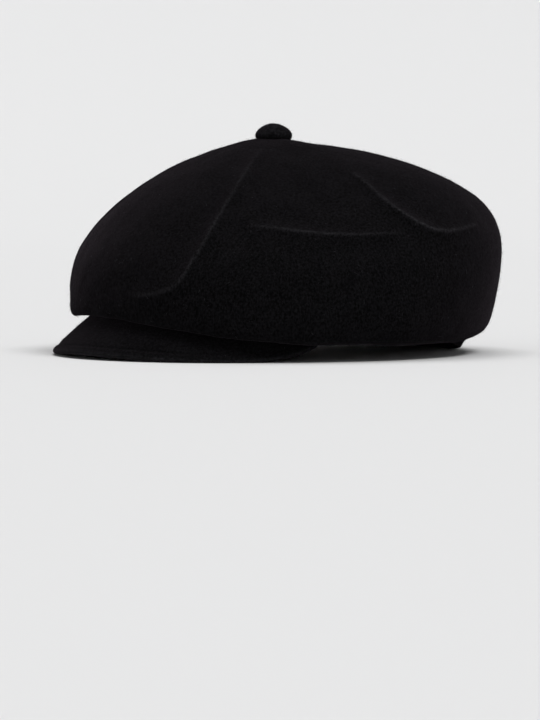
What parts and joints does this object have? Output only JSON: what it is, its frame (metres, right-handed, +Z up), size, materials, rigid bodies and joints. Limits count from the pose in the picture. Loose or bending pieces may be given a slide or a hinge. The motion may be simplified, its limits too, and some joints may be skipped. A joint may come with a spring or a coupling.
{
  "type": "flat cap",
  "caption": "Full soft felt cap in the baker-boy style, with a drooping round crown, a plain band, a down-curved peak and a covered top button.",
  "frame": {"origin": "centre of the resting cap's base, on the surface it rests on", "axes": "+Z up, -Y the wearer's front (the peak), +X the wearer's left"},
  "size_m": [0.2394, 0.2624, 0.1305],
  "materials": {
    "crown_felt": "black wool felt, matt with a fine nap",
    "band_felt": "black wool felt, matt",
    "peak_felt": "black wool felt over a stiffened visor, with an edge stitch",
    "button_felt": "black felt-covered button"
  },
  "bodies": {
    "root": {"crown": "crown_felt", "band": "band_felt", "peak": "peak_felt", "button": "button_felt"}
  },
  "joints": []
}
